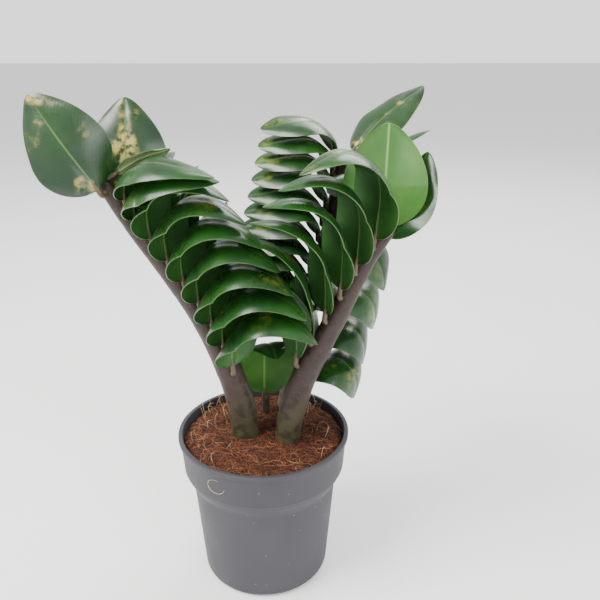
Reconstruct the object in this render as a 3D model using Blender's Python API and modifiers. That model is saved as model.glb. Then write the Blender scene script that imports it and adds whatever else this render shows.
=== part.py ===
"""A glossy-leaved house plant in a grey nursery pot: three arching fronds and one small shoot.

Metres, +Z up. The origin is on the table, in the middle of the whole plant's outline seen from
above, and -Y is the front. The pot's own middle is a little to one side of it. Everything is
first built around the pot's middle, and centre_on_table moves it at the end.
"""

import random
from math import cos, exp, pi, radians, sin

import bmesh
import bpy
from mathutils import Matrix, Quaternion, Vector
from mathutils.bvhtree import BVHTree

MM = 0.001

# Overall sizes
POT_HEIGHT = 112 * MM
RIM_RADIUS = 60.2 * MM
PLANT_HEIGHT = 300 * MM      # table to the top of the tallest stem
LEAFLET_SCALE = 1.0          # length and width of every leaflet

# Pot wall, from the rim down
WALL = 1.5 * MM
LIP_DEPTH = 3.2 * MM         # height of the thin lip around the rim
LIP_STEP = 1.5 * MM          # how far the collar stands in from the lip
COLLAR_DEPTH = 26 * MM       # rim to the ledge under the collar
COLLAR_TAPER = 1.6 * MM
LEDGE_STEP = 0.7 * MM
SHOULDER_DEPTH = 13 * MM     # ledge to the top of the plain wall
SHOULDER_STEP = 5.2 * MM
WALL_TAPER = 5.4 * MM        # narrowing from the shoulder to the foot's corner
CORNER_RADIUS = 5 * MM
FOOT_RING = 3.4 * MM         # width of the ring the pot stands on
FOOT_RECESS = 3.0 * MM       # height of the floor's underside over the table
FLOOR = 2.6 * MM
NOTCH_WIDTH = 18 * MM
NOTCH_HEIGHT = 2.4 * MM
NOTCHES = 4
DRAIN_HOLES = 6
DRAIN_RADIUS = 2.5 * MM
DRAIN_CIRCLE = 25 * MM
ROUND_STEPS = 48

# Soil
SOIL_DEPTH = 4.5 * MM        # soil's edge below the rim
SOIL_DOME = 1.6 * MM         # rise of the soil's middle over its edge
SOIL_EDGE = 3 * MM           # width and depth of the soil's crumbled edge
SOIL_GAP = 0.3 * MM          # clearance to the pot
SOCKET_GAP = 0.4 * MM        # clearance around a stem in the soil
ROOTED = 24 * MM             # length of stem below the soil's top

# Leaflets
LEAF_THICKNESS = 1.0 * MM
LEAF_GAP = 0.6 * MM          # least space kept between two leaflets
SEAT_GAP = 1.2 * MM          # stem's surface to the middle of a leaflet's base
STALK_SHARE = 0.07           # part of a leaflet's length that is its stalk
STALK_HALF_WIDTH = 2.2 * MM
TIP_HALF_WIDTH = 0.6 * MM
LEAF_STEPS = 54              # steps that carry a leaflet's midrib along
LEAF_ROWS = 9                # faces along a leaflet
LEAF_COLUMNS = 4             # faces across a leaflet

SOIL_TOP = POT_HEIGHT - SOIL_DEPTH
LEDGE_Z = POT_HEIGHT - COLLAR_DEPTH
SHOULDER_Z = LEDGE_Z - SHOULDER_DEPTH
FLOOR_TOP = FOOT_RECESS + FLOOR
COLLAR_RADIUS = RIM_RADIUS - LIP_STEP
LEDGE_RADIUS = COLLAR_RADIUS - COLLAR_TAPER
SHOULDER_RADIUS = LEDGE_RADIUS - LEDGE_STEP - SHOULDER_STEP
CORNER_OUTER = SHOULDER_RADIUS - WALL_TAPER
FOOT_OUTER = CORNER_OUTER - CORNER_RADIUS
SOIL_RADIUS = RIM_RADIUS - LIP_STEP - WALL - SOIL_GAP

# Stems: points in mm as x, y and height over the soil; the radii run from foot to tip.
DRAWN_HEIGHT = 190 * MM      # height over the soil at which the points were drawn
STEMS = {
    "left_stem": dict(
        points=[(-13, 0, 0), (-14, 0, 14), (-17, -1, 31), (-26.5, -3, 63), (-40, -5, 94),
                (-57, -7, 123), (-73.5, -9, 149), (-85, -10, 168), (-92, -10, 180)],
        radii=[10, 10.2, 9.8, 8.8, 7.8, 6.8, 6, 5.3, 4.5],
    ),
    "right_stem": dict(
        points=[(16.5, -9, 0), (18, -9, 14), (22, -9, 30), (27, -10, 46), (34, -10, 61),
                (48, -12, 90), (60, -13, 116), (67, -14, 130), (75, -15, 143), (82, -15, 152)],
        radii=[9.4, 9.5, 9.5, 9, 8.5, 7.4, 6.4, 5.8, 5.2, 4.5],
    ),
    "back_stem": dict(
        points=[(19, 38, 0), (21, 38, 12), (26, 39, 38), (33, 40, 70), (41, 42, 100),
                (48, 44, 129), (54, 45, 158), (57, 45, 178), (58, 45, 190)],
        radii=[8.5, 8.5, 7.8, 7.2, 6.5, 5.8, 5.2, 4.5, 4],
    ),
    "small_stem": dict(
        points=[(2, 28, 0), (2, 26.5, 15), (2.5, 25, 32), (3, 24, 44)],
        radii=[3.2, 3, 2.8, 2.6],
    ),
}

# A leaflet's default turns, in degrees, and shape. heading is the compass direction that it
# grows in, 0 along +X. It leaves the stem at the angle rise over level and ends at fall.
# reach is how much further than SEAT_GAP its base stands from the stem, in mm.
PLAIN = dict(lean=0, roll=0, around=0, reach=0, twist=0, tilt=0, cup=0.35, peak=0.45,
             spread=0.22)

# Rows of leaflets, lowest first. A pair of values runs from the first leaflet to the last.
ROWS = [
    dict(name="left_near", stem="left_stem", count=7, place=(0.27, 0.765), heading=(-68, -60),
         rise=(92, 104), fall=(-56, -42), lean=(4, 8), length=(104, 92), width=(27, 23),
         cup=0.5, peak=(0.57, 0.48), spread=(0.42, 0.40), twist=(50, 45), tilt=(-20, -24)),
    dict(name="left_upper", stem="left_stem", count=2, place=(0.84, 0.905), heading=(-58, -48),
         rise=98, fall=(-38, -35), lean=8, length=84, width=(21, 19), cup=0.5,
         peak=(0.30, 0.25), spread=0.36, twist=(35, 25), tilt=(-24, -20)),
    dict(name="left_tip", stem="left_stem", count=1, place=0.97, heading=168, rise=56, fall=30,
         length=70, width=26, roll=-50, around=75, reach=2.5),
    dict(name="left_crown", stem="left_stem", count=1, place=0.90, heading=95, rise=84, fall=62,
         length=66, width=27, roll=-5, around=-35, reach=0.5),
    dict(name="left_young", stem="left_stem", count=1, place=1.0, heading=5, rise=34, fall=12,
         length=38, width=10, roll=-35, reach=2),
    dict(name="right_near", stem="right_stem", count=6, place=(0.34, 0.90), heading=(195, 238),
         rise=(88, 94), fall=(20, -40), lean=(0, 8), length=(98, 106), width=(21, 25), cup=0.4,
         peak=(0.66, 0.60), spread=0.32, twist=(-10, -40), tilt=(5, 15)),
    dict(name="right_tip", stem="right_stem", count=1, place=0.95, heading=268, rise=94, fall=74,
         length=70, width=29, roll=-5, cup=0.5, lean=-7, around=180, reach=0.5),
    dict(name="right_crown", stem="right_stem", count=1, place=0.93, heading=35, rise=50,
         fall=62, length=64, width=22),
    dict(name="small", stem="small_stem", count=1, place=0.36, heading=-100, rise=82, fall=-40,
         length=82, width=24, twist=35, peak=0.74, spread=0.25),
    dict(name="back_right", stem="back_stem", count=6, place=(0.17, 0.83), heading=(-50, -58),
         rise=(46, 54), fall=(-100, -76), length=(74, 84), width=(28, 25), peak=0.6,
         spread=0.3, twist=(10, 5), tilt=-10),
    dict(name="back_left", stem="back_stem", count=13, place=(0.25, 0.97), heading=(207, 200),
         rise=88, fall=(-20, -15), length=(74, 67), width=(24, 21), peak=(0.40, 0.35),
         spread=0.3, twist=(-20, -15), tilt=(-36, -30)),
    dict(name="back_tip", stem="back_stem", count=1, place=0.98, heading=15, rise=48, fall=30,
         length=72, width=20, roll=20),
    dict(name="back_crown", stem="back_stem", count=1, place=0.92, heading=-45, rise=44,
         fall=34, length=72, width=18, roll=20, around=-20, reach=1),
    dict(name="left_far", stem="left_stem", count=7, place=(0.31, 0.80), heading=(62, 56),
         rise=86, fall=(10, 20), lean=(5, 10), length=(70, 72), width=20, cup=0.5, peak=0.55,
         spread=0.36, twist=-20),
    dict(name="right_far", stem="right_stem", count=3, place=(0.42, 0.80), heading=(140, 120),
         rise=88, fall=30, length=(50, 56), width=15, peak=0.5, spread=0.30, twist=40),
]

# Where a leaflet would touch one already grown, it tries again with small changes of up to
# these amounts, in degrees, until it has room.
FREEDOM = dict(heading=9, rise=5, fall=26, lean=7, roll=7, twist=16, tilt=16)
SHORTENING = 0.12            # largest loss of length in a try at full freedom
TRIES_TO_FULL = 900          # tries over which the freedom grows to the full amount
MOST_TRIES = 6000
SEED = 7


def clear_scene():
    for old in list(bpy.data.objects):
        bpy.data.objects.remove(old, do_unlink=True)


def new_collection(name, hidden=False):
    collection = bpy.data.collections.new(name)
    collection.hide_render = hidden
    bpy.context.scene.collection.children.link(collection)
    return collection


def new_material(name, colour, roughness):
    material = bpy.data.materials.new(name)
    material.use_nodes = True
    shader = material.node_tree.nodes["Principled BSDF"]
    shader.inputs["Base Color"].default_value = (*colour, 1)
    shader.inputs["Roughness"].default_value = roughness
    shader.inputs["Metallic"].default_value = 0
    return material


def place_object(name, data, collection, material=None):
    obj = bpy.data.objects.new(name, data)
    collection.objects.link(obj)
    if material:
        data.materials.append(material)
    return obj


# ---------------------------------------------------------------- round pieces

def turned(name, profile, collection, material=None):
    """Solid turned from a profile of (radius, height) points that starts and ends on the axis."""
    mesh = bpy.data.meshes.new(name)
    edges = [(i, i + 1) for i in range(len(profile) - 1)]
    mesh.from_pydata([(r, 0, z) for r, z in profile], edges, [])
    obj = place_object(name, mesh, collection, material)
    screw = obj.modifiers.new("Screw", "SCREW")
    screw.axis = "Z"
    screw.angle = 2 * pi
    screw.steps = ROUND_STEPS
    screw.render_steps = ROUND_STEPS
    screw.use_merge_vertices = True
    screw.merge_threshold = 0.00001
    screw.use_smooth_shade = True
    return obj


def arc(centre_r, centre_z, radius, start, end, count):
    """Points of an arc in the profile's plane, angles in degrees."""
    points = []
    for i in range(count + 1):
        angle = radians(start + (end - start) * i / count)
        points.append((centre_r + radius * cos(angle), centre_z + radius * sin(angle)))
    return points


def shoulder_radius(drop):
    """Outer radius under the ledge: a soft curve in to the plain wall, drop from 0 to 1."""
    ease = drop * drop * (3 - 2 * drop)
    return SHOULDER_RADIUS + SHOULDER_STEP * (1 - ease)


def pot_outside():
    """Outer profile from the rim's top to the foot."""
    lip_round = WALL * 0.4
    points = [
        (RIM_RADIUS - lip_round, POT_HEIGHT),
        (RIM_RADIUS, POT_HEIGHT - lip_round),
        (RIM_RADIUS, POT_HEIGHT - LIP_DEPTH + lip_round),
        (COLLAR_RADIUS, POT_HEIGHT - LIP_DEPTH),
        (LEDGE_RADIUS, LEDGE_Z),
        (LEDGE_RADIUS - LEDGE_STEP, LEDGE_Z - LEDGE_STEP),
    ]
    for step in range(1, 6):
        drop = step / 5
        points.append((shoulder_radius(drop), LEDGE_Z - drop * SHOULDER_DEPTH))
    return points + arc(FOOT_OUTER, CORNER_RADIUS, CORNER_RADIUS, 0, -90, 5)


def pot_inside(gap=0.0):
    """Inner profile from the floor's middle to the rim's top, or the soil's side, a gap inside."""
    floor = FLOOR_TOP + gap
    inset = WALL + gap
    points = [(CORNER_OUTER - inset - 3 * MM, floor), (CORNER_OUTER - inset, floor + 4 * MM)]
    for step in range(5, 0, -1):
        drop = step / 5
        points.append((shoulder_radius(drop) - inset, LEDGE_Z - drop * SHOULDER_DEPTH))
    points.append((LEDGE_RADIUS - inset, LEDGE_Z))
    return points


def build_pot(collection, cutters, material):
    inner_rim = COLLAR_RADIUS - WALL
    profile = [(0, FLOOR_TOP)] + pot_inside() + [(inner_rim, POT_HEIGHT)] + pot_outside()
    profile += [(FOOT_OUTER - FOOT_RING, 0), (FOOT_OUTER - FOOT_RING, FOOT_RECESS)]
    profile += [(0, FOOT_RECESS)]
    pot = turned("pot", profile, collection, material)

    tool = bmesh.new()
    for i in range(NOTCHES):
        turn = Matrix.Rotation(2 * pi * i / NOTCHES - pi / 2, 4, "Z")
        shift = Matrix.Translation((FOOT_OUTER, 0, 0))
        size = Matrix.Diagonal((3 * CORNER_RADIUS, NOTCH_WIDTH, 2 * NOTCH_HEIGHT, 1))
        bmesh.ops.create_cube(tool, size=1, matrix=turn @ shift @ size)
    for i in range(DRAIN_HOLES):
        turn = Matrix.Rotation(2 * pi * i / DRAIN_HOLES, 4, "Z")
        shift = Matrix.Translation((DRAIN_CIRCLE, 0, FLOOR_TOP / 2))
        bmesh.ops.create_cone(tool, cap_ends=True, segments=16, radius1=DRAIN_RADIUS,
                              radius2=DRAIN_RADIUS, depth=2 * FLOOR_TOP, matrix=turn @ shift)
    mesh = bpy.data.meshes.new("pot_openings")
    tool.to_mesh(mesh)
    tool.free()
    cut(pot, place_object("pot_openings", mesh, cutters))
    return pot


def build_soil(collection, cutters, material, stems):
    edge = SOIL_TOP - SOIL_EDGE
    side = pot_inside(SOIL_GAP)
    top = [(SOIL_RADIUS - 0.5 * MM, edge), (SOIL_RADIUS - SOIL_EDGE, SOIL_TOP)]
    for share in (0.7, 0.4, 0):
        top.append(((SOIL_RADIUS - SOIL_EDGE) * share, SOIL_TOP + SOIL_DOME * (1 - share ** 2)))
    profile = [(0, FLOOR_TOP + SOIL_GAP)] + side + top
    soil = turned("soil", profile, collection, material)
    for name, stem in stems.items():
        socket = stem_curve(name + "_socket", stem, cutters, extra=SOCKET_GAP, overshoot=True)
        cut(soil, curve_to_mesh(socket, cutters))
    return soil


def cut(obj, tool):
    tool.hide_render = True
    tool.display_type = "WIRE"
    boolean = obj.modifiers.new("Cut " + tool.name, "BOOLEAN")
    boolean.operation = "DIFFERENCE"
    boolean.solver = "EXACT"
    boolean.object = tool


# ---------------------------------------------------------------- stems

def curve_through(points, count):
    """Evenly spaced parameters along a smooth Catmull-Rom line through the points."""
    ends = [2 * points[0] - points[1], *points, 2 * points[-1] - points[-2]]
    line = []
    for k in range(count):
        x = k / (count - 1) * (len(points) - 1)
        i = min(int(x), len(points) - 2)
        t = x - i
        a, b, c, d = ends[i:i + 4]
        line.append(0.5 * (2 * b + (c - a) * t + (2 * a - 5 * b + 4 * c - d) * t ** 2
                           + (3 * b - a - 3 * c + d) * t ** 3))
    return line


class Stem:
    """Centre line and radius of a stem, looked up by the share of its length over the soil."""

    def __init__(self, points, radii):
        stretch = (PLANT_HEIGHT - SOIL_TOP) / DRAWN_HEIGHT
        spread = SOIL_RADIUS / (56.9 * MM)
        places = [Vector((x * spread * MM, y * spread * MM, SOIL_TOP + z * stretch * MM))
                  for x, y, z in points]
        self.line = curve_through(places, 61)
        self.radii = [self.radius_at(radii, k / 60) * MM for k in range(61)]
        self.lengths = [0.0]
        for a, b in zip(self.line, self.line[1:]):
            self.lengths.append(self.lengths[-1] + (b - a).length)

    @staticmethod
    def radius_at(radii, share):
        x = share * (len(radii) - 1)
        i = min(int(x), len(radii) - 2)
        return radii[i] + (radii[i + 1] - radii[i]) * (x - i)

    def at(self, share):
        """Point, direction and radius at a share of the length."""
        wanted = share * self.lengths[-1]
        i = 0
        while i < 59 and self.lengths[i + 1] < wanted:
            i += 1
        t = (wanted - self.lengths[i]) / (self.lengths[i + 1] - self.lengths[i])
        point = self.line[i].lerp(self.line[i + 1], t)
        direction = (self.line[min(i + 2, 60)] - self.line[max(i - 1, 0)]).normalized()
        return point, direction, self.radii[i] + (self.radii[i + 1] - self.radii[i]) * t


def stem_curve(name, stem, collection, material=None, extra=0.0, overshoot=False):
    """Tube around a stem's line, rooted in the soil. A socket's tube stops just over the soil."""
    foot = stem.line[0] - (stem.line[1] - stem.line[0]).normalized() * ROOTED
    picks = range(0, 13) if overshoot else range(0, 61, 3)
    points = [foot - Vector((0, 0, extra))] + [stem.line[k] for k in picks]
    radii = [stem.radii[0] * 0.9] + [stem.radii[k] for k in picks]
    curve = bpy.data.curves.new(name, "CURVE")
    curve.dimensions = "3D"
    curve.bevel_depth = 1.0
    curve.bevel_resolution = 4
    curve.use_fill_caps = True
    spline = curve.splines.new("POLY")
    spline.points.add(len(points) - 1)
    spline.use_smooth = True
    for point, place, radius in zip(spline.points, points, radii):
        point.co = (*place, 1)
        point.radius = radius + extra
    return place_object(name, curve, collection, material)


def curve_to_mesh(obj, collection):
    """Closed mesh object in place of a curve, for a Boolean."""
    bpy.context.view_layer.update()
    graph = bpy.context.evaluated_depsgraph_get()
    mesh = bpy.data.meshes.new_from_object(obj.evaluated_get(graph))
    shape = bmesh.new()
    shape.from_mesh(mesh)
    bmesh.ops.remove_doubles(shape, verts=shape.verts, dist=0.00001)
    bmesh.ops.recalc_face_normals(shape, faces=shape.faces)
    shape.to_mesh(mesh)
    shape.free()
    name = obj.name
    bpy.data.objects.remove(obj, do_unlink=True)
    return place_object(name + "_tool", mesh, collection)


# ---------------------------------------------------------------- leaflets

def half_width(u, width):
    """Half a leaflet's width at the share u of its length: stalk, round base, short point."""
    if u < STALK_SHARE:
        return STALK_HALF_WIDTH
    x = min((u - STALK_SHARE) / (1 - STALK_SHARE), 1)
    body = width * sin(pi * x ** 0.80) ** 0.62 if x < 1 else 0
    return max(body * (1 - 0.18 * x), STALK_HALF_WIDTH if x < 0.5 else TIP_HALF_WIDTH)


def first_frame(stem, leaf):
    """Base point of a leaflet, and its axes there: X across, Y along, Z out of its upper side."""
    point, direction, radius = stem.at(leaf["place"])
    heading = radians(leaf["heading"])
    rise = radians(leaf["rise"])
    side = heading + radians(leaf["around"])
    out = Vector((cos(side), sin(side), 0))
    out = (out - direction * out.dot(direction)).normalized()
    base = point + out * (radius + SEAT_GAP + leaf["reach"] * MM)
    along = Vector((cos(rise) * cos(heading), cos(rise) * sin(heading), sin(rise)))
    upper = Vector((-sin(rise) * cos(heading), -sin(rise) * sin(heading), cos(rise)))
    towards_tip = 1 if upper.cross(along).dot(direction) > 0 else -1
    along = Quaternion(upper, towards_tip * radians(leaf["lean"])) @ along
    upper = Quaternion(along, radians(leaf["roll"])) @ upper
    across = along.cross(upper)
    return base, Matrix((across, along, upper)).transposed().to_quaternion()


def midrib_frames(stem, leaf):
    """Point and axes after every step along the midrib, which bends towards the underside."""
    point, axes = first_frame(stem, leaf)
    bends = [exp(-(((k + 0.5) / LEAF_STEPS - leaf["peak"]) / leaf["spread"]) ** 2)
             for k in range(LEAF_STEPS)]
    bend = radians(leaf["rise"] - leaf["fall"]) / sum(bends)
    step = leaf["length"] * MM * LEAFLET_SCALE / LEAF_STEPS
    turn_at = 0.42
    frames = [(point, axes)]
    for k in range(LEAF_STEPS):
        if (k + 0.5) / LEAF_STEPS < turn_at:
            twist = radians(leaf["twist"]) / turn_at / LEAF_STEPS
        else:
            twist = radians(leaf["tilt"]) / (1 - turn_at) / LEAF_STEPS
        axes = axes @ Quaternion((1, 0, 0), -bend * bends[k]) @ Quaternion((0, 1, 0), twist)
        point = point + axes @ Vector((0, step, 0))
        frames.append((point, axes))
    return frames


def leaf_points(frames, leaf, rows, columns, lift=0.0):
    """Grid of points over a leaflet, a lift over its middle surface. Its edges droop by cup."""
    width = leaf["width"] * MM * LEAFLET_SCALE
    cup = leaf["cup"]
    grid = []
    for i in range(rows + 1):
        u = i / rows
        point, axes = frames[round(u * LEAF_STEPS)]
        half = half_width(u, width)
        for j in range(columns + 1):
            bow = cup * (2 * j / columns - 1)
            normal = Vector((sin(bow), 0, cos(bow)))
            place = Vector((half * sin(bow) / cup, 0, -half * (1 - cos(bow)) / cup))
            grid.append(point + axes @ (place + normal * lift))
    return grid


def leaf_shell(frames, leaf):
    """Surfaces of a leaflet with half the least gap around it, for testing its room."""
    lift = (LEAF_THICKNESS + LEAF_GAP) / 2
    upper = leaf_points(frames, leaf, LEAF_ROWS, LEAF_COLUMNS, lift)
    lower = leaf_points(frames, leaf, LEAF_ROWS, LEAF_COLUMNS, -lift)
    wide = LEAF_COLUMNS + 1
    count = len(upper)
    faces = []
    for i in range(LEAF_ROWS):
        for j in range(LEAF_COLUMNS):
            a = i * wide + j
            faces.append((a, a + 1, a + wide + 1, a + wide))
            faces.append((a + count, a + wide + count, a + wide + 1 + count, a + 1 + count))
        for a in (i * wide, i * wide + LEAF_COLUMNS):
            faces.append((a, a + wide, a + wide + count, a + count))
    return BVHTree.FromPolygons(upper + lower, faces)


def stem_shell(stem):
    """Rings around a stem, with the least gap to its leaflets."""
    sides = 12
    places = []
    for k in range(0, 61, 2):
        direction = (stem.line[min(k + 1, 60)] - stem.line[max(k - 1, 0)]).normalized()
        across = direction.orthogonal().normalized()
        for s in range(sides):
            spoke = Quaternion(direction, 2 * pi * s / sides) @ across
            places.append(stem.line[k] + spoke * (stem.radii[k] + 0.3 * MM))
    return shell_of_rings(places, sides)


def pot_shell():
    """Soil's top and the rim, with a gap to whatever hangs over them."""
    gap = 0.6 * MM
    profile = [(1 * MM, SOIL_TOP + SOIL_DOME + gap), (SOIL_RADIUS - gap, SOIL_TOP + gap),
               (SOIL_RADIUS - gap, POT_HEIGHT + gap), (RIM_RADIUS + gap, POT_HEIGHT + gap),
               (RIM_RADIUS + gap, LEDGE_Z)]
    places = [Vector((r * cos(2 * pi * s / 48), r * sin(2 * pi * s / 48), z))
              for r, z in profile for s in range(48)]
    return shell_of_rings(places, 48)


def shell_of_rings(places, sides):
    faces = []
    for ring in range(len(places) // sides - 1):
        for s in range(sides):
            a = ring * sides + s
            b = ring * sides + (s + 1) % sides
            faces.append((a, b, b + sides, a + sides))
    return BVHTree.FromPolygons(places, faces)


def between(value, share):
    if isinstance(value, tuple):
        return value[0] + (value[1] - value[0]) * share
    return value


def planned_leaflets():
    """Every leaflet as a dict of its values, named from its row."""
    leaflets = []
    for row in ROWS:
        for i in range(row["count"]):
            share = i / max(row["count"] - 1, 1)
            leaf = dict(PLAIN)
            leaf.update({key: between(value, share) for key, value in row.items()})
            leaf["name"] = row["name"] + "_leaflet" + (f"_{i + 1}" if row["count"] > 1 else "")
            leaflets.append(leaf)
    return leaflets


def nudged(leaf, chance, freedom):
    """Copy of a leaflet with small changes of its turns, and a little shorter."""
    changed = dict(leaf)
    for key, most in FREEDOM.items():
        changed[key] = leaf[key] + chance.uniform(-most, most) * freedom
    changed["length"] = leaf["length"] * (1 - SHORTENING * freedom * chance.random())
    return changed


def grow_leaflets(stems):
    """Leaflets in their final turns, each clear of the stems, the pot and the others."""
    shells = [stem_shell(stem) for stem in stems.values()] + [pot_shell()]
    grown = []
    for number, planned in enumerate(planned_leaflets()):
        chance = random.Random(SEED + number)
        for attempt in range(MOST_TRIES):
            leaf = nudged(planned, chance, attempt / TRIES_TO_FULL) if attempt else planned
            frames = midrib_frames(stems[leaf["stem"]], leaf)
            shell = leaf_shell(frames, leaf)
            if not any(shell.overlap(other) for other in shells):
                break
        else:
            raise RuntimeError(f"{planned['name']} finds no room")
        shells.append(shell)
        grown.append((leaf, frames))
    return grown


def build_leaflet(leaf, frames, collection, material):
    shape = bmesh.new()
    bmesh.ops.create_grid(shape, x_segments=LEAF_COLUMNS, y_segments=LEAF_ROWS, size=1)
    places = leaf_points(frames, leaf, LEAF_ROWS, LEAF_COLUMNS)
    for vert in shape.verts:
        i = round((vert.co.y + 1) / 2 * LEAF_ROWS)
        j = round((vert.co.x + 1) / 2 * LEAF_COLUMNS)
        vert.co = places[i * (LEAF_COLUMNS + 1) + j]
    mesh = bpy.data.meshes.new(leaf["name"])
    shape.to_mesh(mesh)
    shape.free()
    mesh.polygons.foreach_set("use_smooth", [True] * len(mesh.polygons))
    obj = place_object(leaf["name"], mesh, collection, material)
    solidify = obj.modifiers.new("Solidify", "SOLIDIFY")
    solidify.thickness = LEAF_THICKNESS
    solidify.offset = 0
    return obj


def centre_on_table():
    """Moves everything so that the plant's box is centred over the origin."""
    bpy.context.view_layer.update()
    graph = bpy.context.evaluated_depsgraph_get()
    corners = [corner for obj in bpy.data.objects if not obj.hide_render
               for corner in obj.evaluated_get(graph).bound_box]
    middle = [(min(c[axis] for c in corners) + max(c[axis] for c in corners)) / 2
              for axis in (0, 1)]
    for obj in bpy.data.objects:
        obj.location = (-middle[0], -middle[1], 0)


def main():
    clear_scene()
    plant = new_collection("potted_plant")
    cutters = new_collection("cutters", hidden=True)
    grey_plastic = new_material("pot_plastic", (0.125, 0.122, 0.135), 0.62)
    coir = new_material("coir_soil", (0.16, 0.075, 0.035), 0.95)
    brown_stem = new_material("stem_skin", (0.085, 0.062, 0.045), 0.55)
    green_leaf = new_material("leaf", (0.035, 0.105, 0.028), 0.28)
    young_leaf = new_material("young_leaf", (0.16, 0.26, 0.10), 0.35)

    stems = {name: Stem(**drawn) for name, drawn in STEMS.items()}
    build_pot(plant, cutters, grey_plastic)
    build_soil(plant, cutters, coir, stems)
    for name, stem in stems.items():
        stem_curve(name, stem, plant, brown_stem)
    for leaf, frames in grow_leaflets(stems):
        young = leaf["name"].startswith("left_young")
        build_leaflet(leaf, frames, plant, young_leaf if young else green_leaf)
    centre_on_table()


main()
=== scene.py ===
# %% [markdown]
# # A glossy house plant in a nursery pot
#
# This lesson dresses a potted plant. The frame gives plain solids with true sizes: a pot, its
# soil, four stems and their leaflets. Each cell below takes one of them and gives it the surface
# that the real thing has. The order is that of the pot being filled: plastic pot, coconut-fibre
# soil, stems, leaflets, and then the small stalks that join them.

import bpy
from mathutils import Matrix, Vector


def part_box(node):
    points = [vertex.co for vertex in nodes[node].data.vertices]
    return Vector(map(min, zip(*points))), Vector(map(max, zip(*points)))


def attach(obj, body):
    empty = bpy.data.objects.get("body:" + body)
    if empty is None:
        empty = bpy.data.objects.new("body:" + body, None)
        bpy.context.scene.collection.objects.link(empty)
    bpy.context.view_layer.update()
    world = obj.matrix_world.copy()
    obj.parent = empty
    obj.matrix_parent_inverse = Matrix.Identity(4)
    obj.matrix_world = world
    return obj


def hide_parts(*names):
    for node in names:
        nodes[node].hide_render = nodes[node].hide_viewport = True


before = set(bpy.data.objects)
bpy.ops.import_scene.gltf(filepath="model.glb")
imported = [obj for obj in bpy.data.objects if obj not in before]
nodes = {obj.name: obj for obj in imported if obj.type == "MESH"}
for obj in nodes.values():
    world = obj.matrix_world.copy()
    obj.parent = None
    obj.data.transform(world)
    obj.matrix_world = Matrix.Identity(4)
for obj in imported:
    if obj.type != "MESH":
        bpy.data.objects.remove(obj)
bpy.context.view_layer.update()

# %% Tools from Blender and from Python
import random
from math import cos, exp, pi, radians, sin, sqrt

import bmesh
import bpy
from mathutils import Matrix, Quaternion, Vector, noise
from mathutils.bvhtree import BVHTree

MM = 0.001
print(len(nodes), "solids in the frame")

# %% [markdown]
# ## Sizes
#
# The pot's height, its rim and its middle are read from the frame's box. What a box can't show,
# such as the depth of the collar, is named here once, and everything that follows uses these
# names. The frame's origin is the middle of the whole plant's outline, but every piece below is
# made around the pot's middle, which is simpler, and is moved into place when it's finished.

# %% Sizes of the pot and the soil
pot_low, pot_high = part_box("pot")
POT_HEIGHT = round(pot_high.z / MM, 1) * MM
RIM_RADIUS = round((pot_high.x - pot_low.x) / 2 / MM, 1) * MM
POT_MIDDLE = Vector(((pot_low.x + pot_high.x) / 2, (pot_low.y + pot_high.y) / 2, 0))
SOIL_DEPTH = 4.5 * MM
SOIL_TOP = POT_HEIGHT - SOIL_DEPTH
SOIL_DOME = 1.6 * MM
WALL = 1.5 * MM
LIP_DEPTH = 3.2 * MM
LIP_STEP = 1.5 * MM
COLLAR_DEPTH = 26 * MM
COLLAR_TAPER = 1.6 * MM
LEDGE_STEP = 0.7 * MM
SHOULDER_DEPTH = 13 * MM
SHOULDER_STEP = 5.2 * MM
WALL_TAPER = 5.4 * MM
CORNER_RADIUS = 5 * MM
FOOT_RING = 3.4 * MM
FOOT_RECESS = 3.0 * MM
FLOOR = 2.6 * MM
DRAIN_HOLES = 6
DRAIN_RADIUS = 2.5 * MM
DRAIN_CIRCLE = 25 * MM
NOTCH_WIDTH = 18 * MM
NOTCH_HEIGHT = 2.4 * MM
SOIL_GAP = 0.3 * MM
COLLAR_RADIUS = RIM_RADIUS - LIP_STEP
LEDGE_RADIUS = COLLAR_RADIUS - COLLAR_TAPER
LEDGE_Z = POT_HEIGHT - COLLAR_DEPTH
SHOULDER_RADIUS = LEDGE_RADIUS - LEDGE_STEP - SHOULDER_STEP
CORNER_OUTER = SHOULDER_RADIUS - WALL_TAPER
FOOT_OUTER = CORNER_OUTER - CORNER_RADIUS
FLOOR_TOP = FOOT_RECESS + FLOOR
SOIL_RADIUS = COLLAR_RADIUS - WALL - SOIL_GAP
print(f"pot {POT_HEIGHT / MM:.0f} mm high, rim {2 * RIM_RADIUS / MM:.0f} mm across")

# %% [markdown]
# ## Helpers for meshes
#
# Most pieces here start as a curve or a turned profile, because those keep their roundness in a
# few numbers. Four helpers bring them to the scene: one gives a mesh its object, one turns an
# object with modifiers, or a curve, into a plain mesh that can then be shaped point by point, one
# smooths it, and one moves it to its place in the frame.

# %% Helpers for meshes
look = bpy.data.collections.new("plant_look")
bpy.context.scene.collection.children.link(look)


def show(name, data, *materials):
    """Object for a mesh or a curve, with its materials."""
    obj = bpy.data.objects.new(name, data)
    look.objects.link(obj)
    for material in materials:
        data.materials.append(material)
    return obj


def made_plain(obj):
    """The same object with its modifiers or its curve worked out into a mesh."""
    bpy.context.view_layer.update()
    graph = bpy.context.evaluated_depsgraph_get()
    mesh = bpy.data.meshes.new_from_object(obj.evaluated_get(graph))
    mesh.name = obj.name
    name = obj.name
    bpy.data.objects.remove(obj, do_unlink=True)
    shape = bmesh.new()
    shape.from_mesh(mesh)
    bmesh.ops.remove_doubles(shape, verts=shape.verts, dist=0.000002)
    shape.to_mesh(mesh)
    shape.free()
    return show(name, mesh)


def smooth(obj, sharp_from=40):
    """Smooth shading, but for edges that bend by more than an angle in degrees."""
    mesh = obj.data
    mesh.polygons.foreach_set("use_smooth", [True] * len(mesh.polygons))
    mesh.set_sharp_from_angle(angle=radians(sharp_from))


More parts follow.
